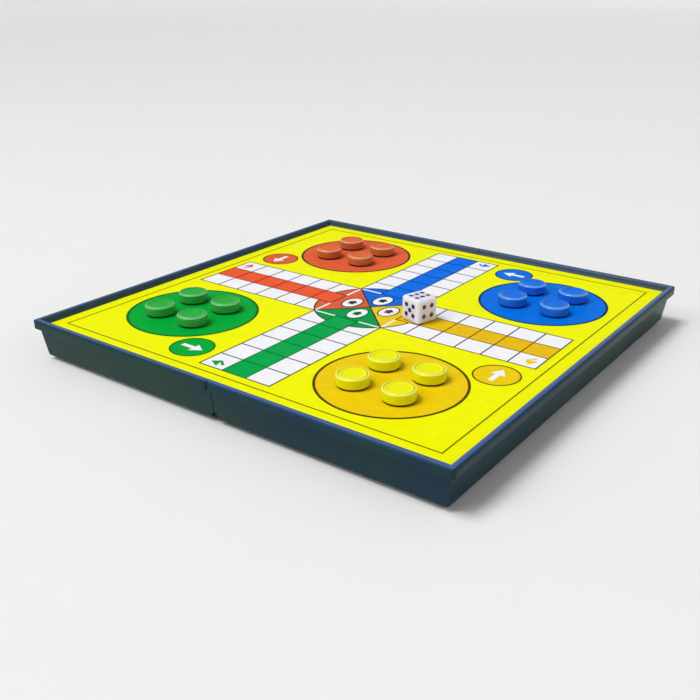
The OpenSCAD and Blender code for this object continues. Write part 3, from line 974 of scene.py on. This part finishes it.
@dataclass
class Pawn:
    """A round button with its magnet; all sizes in millimetres."""

    team: Team
    number: int
    radius: float = 4.65
    height: float = 3.4
    edge: float = 0.42
    edge_down: float = 0.8  # share of the rounded edge's height that has its finish
    edge_in: float = 0.93  # and share of its width
    foot: float = 0.3  # the foot stands back by this
    foot_height: float = 0.62
    brow: float = 0.12  # rounding over the foot
    groove_in: float = 0.7
    groove: float = 0.22
    groove_depth: float = 0.2  # the groove's inner edge is rounded over as much
    dish: float = 0.25
    dish_slope: float = 0.9
    dish_steps: int = 8
    pocket: float = 3.05
    pocket_height: float = 1.3
    magnet_chip: float = 0.08  # broken edge of the magnet
    magnet_segments: int = 48

    @property
    def node(self) -> str:
        """Name of the pawn's CAD node and body."""
        return f"{self.team.word}_pawn_{self.number}"

    def profile(self) -> list[Point]:
        """The button's profile from the magnet's pocket round to the middle of its top.

        Returns:
            Radius and height of each point.
        """
        top, ring, half = self.height, self.radius - self.groove_in, self.groove / 2
        foot, brow, depth = self.radius - self.foot, self.brow, self.groove_depth
        slope = ring - half - depth
        points = [(0, self.pocket_height), (self.pocket, self.pocket_height), (self.pocket, 0.0),
                  (foot, 0.0), (foot, self.foot_height - 0.02), (self.radius - brow, self.foot_height)]
        points += arc((self.radius - brow, self.foot_height + brow), brow, -60, 0, 3)
        points += arc((self.radius - self.edge, top - self.edge), self.edge, 0, 90, 8)
        points += [(ring + half + 0.05, top), (ring + half, top - 0.04)]
        points += arc((ring, top - depth + half), half, 0, -90, 3)
        points += arc((slope, top - depth), depth, 0, 90, 6)
        for i in range(1, self.dish_steps + 1):
            fall = (1 - math.cos(math.pi * i / self.dish_steps)) / 2
            points.append((slope - self.dish_slope * i / self.dish_steps, top - self.dish * fall))
        return points + [(0, top - self.dish)]

    def build(self, lathe: Lathe) -> None:
        """Turns the button and its magnet.

        Args:
            lathe: Turns the profiles.
        """
        low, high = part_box(self.node)
        place = Vector(((low.x + high.x) / 2, (low.y + high.y) / 2, low.z))
        button = lathe.turn(
            f"{self.node}_button", self.profile(), TEAM_COLOURS[self.team].pawn, place)
        self.zones(button, place)
        settle(button, self.node, f"{self.team.word}_pawn", self.node)
        self.build_magnet(lathe)

    def zones(self, button: Piece, place: Vector) -> None:
        """Gives the rounded edge and the ring's inner lip a painted highlight, the fine ring painted shade
        and the set-back foot a painted shadow.

        Args:
            button: The turned button.
            place: The middle of its foot.
        """
        colours = TEAM_COLOURS[self.team]
        paint(button, colours.edge, colours.groove, colours.top, colours.foot)
        ring = self.radius - self.groove_in
        for face in button.data.polygons:
            middle = (face.center - place) / MM
            out = math.hypot(middle.x, middle.y)
            # The set-back foot: painted contact shadow, the pawn's colour darkened
            if middle.z < self.foot_height and out < self.radius - self.brow / 2:
                face.material_index = 4
            elif middle.z < self.height - self.edge * self.edge_down:
                continue
            # The rounded edge and the ring's inner lip: painted highlight, the colour paled towards white
            elif (out > self.radius - self.edge * self.edge_in
                  or 0 < ring - self.groove / 2 - out < self.groove_depth):
                face.material_index = 1
            # Down in the fine ring: painted shade, the colour darkened
            elif abs(out - ring) < self.groove / 2:
                face.material_index = 2
            else:
                face.material_index = 3

    def build_magnet(self, lathe: Lathe) -> None:
        """Turns the magnet, with its edges broken.

        Args:
            lathe: Turns the profile.
        """
        node = f"{self.node}_magnet"
        low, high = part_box(node)
        radius, tall = (high.x - low.x) / 2 / MM, (high.z - low.z) / MM
        place = Vector(((low.x + high.x) / 2, (low.y + high.y) / 2, low.z))
        piece = lathe.turn(
            f"{node}_disc", rod(radius, 0, tall, self.magnet_chip), FERRITE, place,
            segments=self.magnet_segments)
        settle(piece, self.node, "magnet", node)


@dataclass
class Die:
    """A die with rounded edges and lacquered pips; opposite faces add up to seven.

    All sizes are in millimetres.
    """

    edge: float = 8.0
    rounding: float = 1.0
    rounding_steps: int = 7
    pip: float = 1.55
    pip_depth: float = 0.35
    corner_pip: float = 1.55  # from a face's middle to a corner pip, each way
    six_row: float = 1.35
    six_step: float = 2.25
    turn: float = -16.0  # degrees
    pip_segments: int = 40
    pad: float = 0.05  # half width of a face that marks a pip's place
    coat: float = 0.03  # the lacquer stands this high in the pip
    root: float = 0.02  # and reaches this deep into the plastic
    inset: float = 0.02  # between the pip's edge and the lacquer's
    coat_segments: int = 28

    def pips_of(self, number: int) -> list[Point]:
        """Places of a face's pips.

        Args:
            number: The face's number.

        Returns:
            The pips' middles on the face.
        """
        c = self.corner_pip
        places = [(0.0, 0.0)] if number % 2 else []
        places += [(-c, c), (c, -c)] if 1 < number < 6 else []
        places += [(c, c), (-c, -c)] if number in (4, 5) else []
        if number == 6:
            places = [(x * self.six_row, y * self.six_step) for x in (-1, 1) for y in (-1, 0, 1)]
        return places

    def pads(self, name: str, numbers: Iterable[int]) -> Piece:
        """A mesh with one tiny face at each pip, facing out of the die.

        Args:
            name: Name of the mesh.
            numbers: The faces' numbers.

        Returns:
            The object that holds the pads.
        """
        quarters = {1: ("X", 2), 6: ("X", 0), 5: ("X", 1), 2: ("X", -1), 4: ("Y", 1), 3: ("Y", -1)}
        shape, tiny = bmesh.new(), self.pad * MM
        for number, (x, y) in ((n, spot) for n in numbers for spot in self.pips_of(n)):
            axis, count = quarters[number]
            turn = Matrix.Rotation(count * math.pi / 2, 4, axis)
            corners = [(x * MM + a * tiny, y * MM + b * tiny, self.edge / 2 * MM)
                       for a, b in ((-1, -1), (1, -1), (1, 1), (-1, 1))]
            shape.faces.new([shape.verts.new(turn @ Vector(c)) for c in corners])
        return new_piece(name, shape)

    def build(self, lathe: Lathe, scatter: ShapeTree) -> None:
        """Makes the die and its two colours of pips.

        Args:
            lathe: Turns the pips.
            scatter: Sets them on the faces.
        """
        low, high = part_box("die")
        place, turn = (low + high) / 2, (0.0, 0.0, math.radians(self.turn))
        ball = (self.pip ** 2 / 4 + self.pip_depth ** 2) / (2 * self.pip_depth)
        rise = ball - self.pip_depth
        cutter = lathe.turn(
            "pip_ball", arc((0, rise), ball, -90, 90, 16), DIE_PLASTIC, Vector(), segments=self.pip_segments)
        pads = self.pads("all_pads", range(1, 7))
        balls = scatter.run("pip_balls", {
            "Shape": cutter, "Points": pads, "Turn": turn, "Place": place, "Finish": DIE_PLASTIC.material()})
        self.build_body(place, balls)
        span = math.degrees(math.asin((self.pip / 2 - self.inset) / ball))
        coat, root = ball - self.coat, ball + self.root
        lens = arc((0, rise), coat, -90, -90 + span, 6) + arc((0, rise), root, -90 + span, -90, 6)
        drop = lathe.turn("pip_drop", lens, BLUE_PAINT, Vector(), segments=self.coat_segments)
        for node, numbers, paint in (
            ("die_blue_pips", (2, 3, 5, 6), BLUE_PAINT), ("die_red_pips", (1, 4), RED_PAINT)):
            own = self.pads(f"{node}_pads", numbers)
            piece = scatter.run(f"{node}_lacquer", {
                "Shape": drop, "Points": own, "Turn": turn, "Place": place, "Finish": paint.material()})
            settle(piece, "die", "blue_pip_paint" if numbers[0] == 2 else "red_pip_paint", node)
            bpy.data.objects.remove(own)
        for helper in (cutter, pads, balls, drop):
            bpy.data.objects.remove(helper)

    def build_body(self, place: Vector, balls: Piece) -> None:
        """Makes the rounded cube and sinks the pips into it.

        Args:
            place: The die's middle.
            balls: One ball at each pip.
        """
        shape = bmesh.new()
        bmesh.ops.create_cube(shape, size=self.edge * MM)
        bmesh.ops.bevel(
            shape, geom=shape.edges[:], offset=self.rounding * MM, offset_type="OFFSET",
            segments=self.rounding_steps, profile=0.5, affect="EDGES")
        spot = Matrix.Translation(place) @ Matrix.Rotation(math.radians(self.turn), 4, "Z")
        bmesh.ops.transform(shape, matrix=spot, verts=shape.verts)
        piece = new_piece("die_cube", shape)
        paint(piece, DIE_PLASTIC)
        cut = piece.modifiers.new("Pips", "BOOLEAN")
        cut.operation, cut.solver, cut.object = "DIFFERENCE", "EXACT", balls
        keep_result(piece)
        smooth(piece)
        settle(piece, "die", "die_plastic", "die")


class LampKind(Enum):
    """Blender's word for each kind of lamp."""

    SUN = "SUN"
    BOX = "AREA"


@dataclass(frozen=True)
class SoftLamp:
    """A lamp that looks at the origin: a sun, or a square soft box."""

    name: str
    kind: LampKind
    energy: float  # W, or W/m2 for a sun
    place: tuple[float, float, float]  # m to the picture's right, towards the camera and up
    angle: float  # degrees: a sun's width, or the spread that keeps a box's light off the floor under it
    size: float = 0.5  # m, of a box


LAMPS = (
    SoftLamp("overhead", LampKind.SUN, 1.92, (-0.46, 0.1, 1.0), 24),
    SoftLamp("left_soft_box", LampKind.BOX, 1.66, (-0.95, 0.5, 0.8), 115),
    SoftLamp("right_soft_box", LampKind.BOX, 0.43, (0.9, 0.6, 0.8), 115),
)


@dataclass
class Studio:
    """Pale floor that curves up to a backdrop all round, soft lamps and the camera."""

    azimuth: float = 35.0  # degrees
    elevation: float = 20.5  # degrees
    distance: float = 0.284  # m from the centre
    focal_pixels: float = 870.0
    picture: int = 700  # pixels wide
    sensor: float = 36.0  # mm
    clip: tuple[float, float] = (0.01, 20.0)
    centre: tuple[float, float, float] = (0.0, 0.0, 0.0114)
    aim: tuple[float, float] = (-6.5, -14.0)  # mm to the right and up, to centre the board
    floor_radius: float = 3.6  # m
    cove: float = 0.8  # m, radius of the bend between floor and backdrop
    wall: float = 1.6  # m, height of the backdrop over the bend
    hang: float = 1.0  # m from a floor to its own origin
    paper: tuple[str, str] = ("#E8E8E6", "#EAEAE9")
    paper_grain: float = 40.0  # clouds to the metre
    sky: float = 0.3  # strength

    def axes(self) -> tuple[Vector, Vector, Vector]:
        """The camera's directions.

        Returns:
            To the picture's right, up and back to the camera.
        """
        a, e = math.radians(self.azimuth), math.radians(self.elevation)
        back = Vector((math.sin(a) * math.cos(e), -math.cos(a) * math.cos(e), math.sin(e)))
        right = Vector((math.cos(a), math.sin(a), 0.0))
        return right, back.cross(right), back

    def build(self) -> None:
        """Makes the set."""
        self.camera()
        self.floor("floor", 0.0, False, Side.RIGHT.body)
        # The second floor hangs upside down over the die's top and can't be seen; when the
        # right half has turned under the left one it lies under the shut box
        self.floor("floor_when_shut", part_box("die")[1].z, True, "die")
        self.lamps()
        self.world()

    def camera(self) -> None:
        """Makes the camera at the photograph's viewing angle."""
        right, up, back = self.axes()
        data = bpy.data.cameras.new("camera")
        data.sensor_width = self.sensor
        data.lens = self.focal_pixels * self.sensor / self.picture
        data.clip_start, data.clip_end = self.clip
        camera = in_scene("camera", data)
        target = Vector(self.centre) + right * self.aim[0] * MM + up * self.aim[1] * MM
        camera.location = Vector(self.centre) + back * self.distance
        look(camera, target - camera.location)
        bpy.context.scene.camera = camera

    def floor(self, name: str, height: float, turned_over: bool, body: str) -> None:
        """Makes a round floor and a backdrop that curves up all round it.

        They show only while their own origin, which lies high above the floor, is over the board.

        Args:
            name: Name of the floor.
            height: Where the floor lies at rest.
            turned_over: True if it hangs upside down at rest.
            body: The CAD body that it turns with.
        """
        radius, cove = self.floor_radius, self.cove
        bend = arc((radius, cove), cove, -90, 0, 15)
        flat = [(0.001, 0.0), (0.3, 0.0), (1.2, 0.0), (radius, 0.0)]
        sign = -1 if turned_over else 1
        for part, outline in ((name, flat), (f"{name}_backdrop", [*bend, (radius + cove, cove + self.wall)])):
            piece = new_piece(part, self.ring_mesh([(r, (z - self.hang) * sign) for r, z in outline]))
            piece.data.materials.append(self.floor_material())
            smooth(piece)
            piece.location = (0.0, 0.0, height + sign * self.hang)
            piece.visible_shadow = part == name
            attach(piece, body)

    @staticmethod
    def ring_mesh(outline: Sequence[Point], steps: int = 96) -> Shape:
        """Turns an outline about the Z axis, in metres, and closes its middle.

        Args:
            outline: Radius and height of each point, from the inside out.
            steps: Steps round the axis.

        Returns:
            The mesh.
        """
        shape = bmesh.new()
        turns = [(math.cos(2 * math.pi * i / steps), math.sin(2 * math.pi * i / steps)) for i in range(steps)]
        rings = [[shape.verts.new((r * x, r * y, z)) for x, y in turns] for r, z in outline]
        for inner, outer in zip(rings, rings[1:]):
            for i in range(steps):
                shape.faces.new((inner[i], outer[i], outer[(i + 1) % steps], inner[(i + 1) % steps]))
        if outline[0][0] < 0.01:
            shape.faces.new(rings[0])
        return shape

    def floor_material(self) -> bpy.types.Material:
        """Pale matt paper that is clear wherever its object is turned over.

        Returns:
            The material, made once.
        """
        name = "pale_paper"
        if name in bpy.data.materials:
            return bpy.data.materials[name]
        made = bpy.data.materials.new(name)
        made.use_nodes = True
        tree = made.node_tree
        tree.nodes.clear()
        grain = add_node(tree, "ShaderNodeTexNoise", {
            "Vector": add_node(tree, "ShaderNodeTexCoord").outputs["Object"], "Scale": self.paper_grain,
            "Detail": 2.0})
        colour = add_node(tree, "ShaderNodeMix", {
            0: grain.outputs[0], 6: linear(self.paper[0]), 7: linear(self.paper[1])}, data_type="RGBA")
        paper = add_node(tree, "ShaderNodeBsdfDiffuse", {"Color": colour.outputs[2]})
        where = add_node(tree, "ShaderNodeObjectInfo").outputs["Location"]
        high = add_node(tree, "ShaderNodeSeparateXYZ", {0: where}).outputs["Z"]
        above = add_node(tree, "ShaderNodeMath", {0: high, 1: 0.0}, operation="GREATER_THAN")
        clear = add_node(tree, "ShaderNodeBsdfTransparent")
        either = add_node(tree, "ShaderNodeMixShader", {
            0: above.outputs[0], 1: clear.outputs[0], 2: paper.outputs[0]})
        add_node(tree, "ShaderNodeOutputMaterial", {"Surface": either.outputs[0]})
        return made

    def lamps(self) -> None:
        """Hangs a wide soft lamp overhead, a soft box at the left and a weak one at the right."""
        right, _, back = self.axes()
        level = Vector((back.x, back.y, 0.0)).normalized()
        for lamp in LAMPS:
            data = bpy.data.lights.new(lamp.name, lamp.kind.value)
            data.energy = lamp.energy
            if lamp.kind is LampKind.SUN:
                data.angle = math.radians(lamp.angle)
            else:
                data.size, data.spread = lamp.size, math.radians(lamp.angle)
            across, near, high = lamp.place
            hung = in_scene(f"{lamp.name}_lamp", data)
            hung.location = across * right + near * level + Vector((0, 0, high))
            look(hung, -hung.location)

    def world(self) -> None:
        """Sets an even white sky."""
        world = bpy.data.worlds.new("sky")
        bpy.context.scene.world = world
        world.use_nodes = True
        world.node_tree.nodes.clear()
        sky = add_node(world.node_tree, "ShaderNodeBackground", {
            "Color": linear("#FFFFFF"), "Strength": self.sky})
        add_node(world.node_tree, "ShaderNodeOutputWorld", {"Surface": sky.outputs[0]})
        bpy.context.scene.view_settings.view_transform = "Standard"


def main() -> None:
    """Builds the sub-assemblies in order."""
    logging.basicConfig(level=logging.INFO, format="%(message)s")
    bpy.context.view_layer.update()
    lathe = Lathe()
    scatter, rows = scatter_tree(), grid_tree()
    for side in Side:
        CaseHalf(side).build(lathe, rows)
        PlaySurface(side).build()
    for end in ("front", "rear"):
        HingePin(f"{end}_hinge_pin").build(lathe)
    for team in Team:
        for number in range(1, PAWNS + 1):
            Pawn(team, number).build(lathe)
    Die().build(lathe, scatter)
    Studio().build()


if __name__ == "__main__":
    main()
